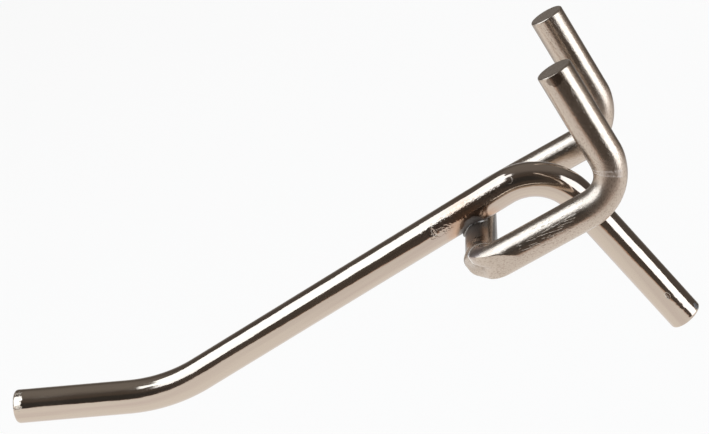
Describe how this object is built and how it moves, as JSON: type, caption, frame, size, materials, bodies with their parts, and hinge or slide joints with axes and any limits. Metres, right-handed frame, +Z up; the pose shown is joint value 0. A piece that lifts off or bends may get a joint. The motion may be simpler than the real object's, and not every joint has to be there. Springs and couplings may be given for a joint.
{
  "type": "perforated board hook",
  "caption": "Bent round wire prong with a raised tip, welded to a U-shaped back bracket whose turned-up pegs hook into a perforated board.",
  "frame": {"origin": "midway between the axes of the two upright pegs, level with the axes of the bracket's legs", "axes": "+X from one peg towards the other, +Y back into the board, +Z up along the pegs"},
  "size_m": [0.0298, 0.089, 0.0414],
  "materials": {
    "bright_plated_wire": "mirror-bright nickel plating on steel wire",
    "satin_plated_wire": "slightly dull nickel plating with bend and tool marks",
    "scorched_weld": "dark heat-scorched weld metal"
  },
  "bodies": {
    "root": {"prong_wire": "bright_plated_wire", "back_bracket_wire": "satin_plated_wire", "weld_bead": "scorched_weld"}
  },
  "joints": []
}
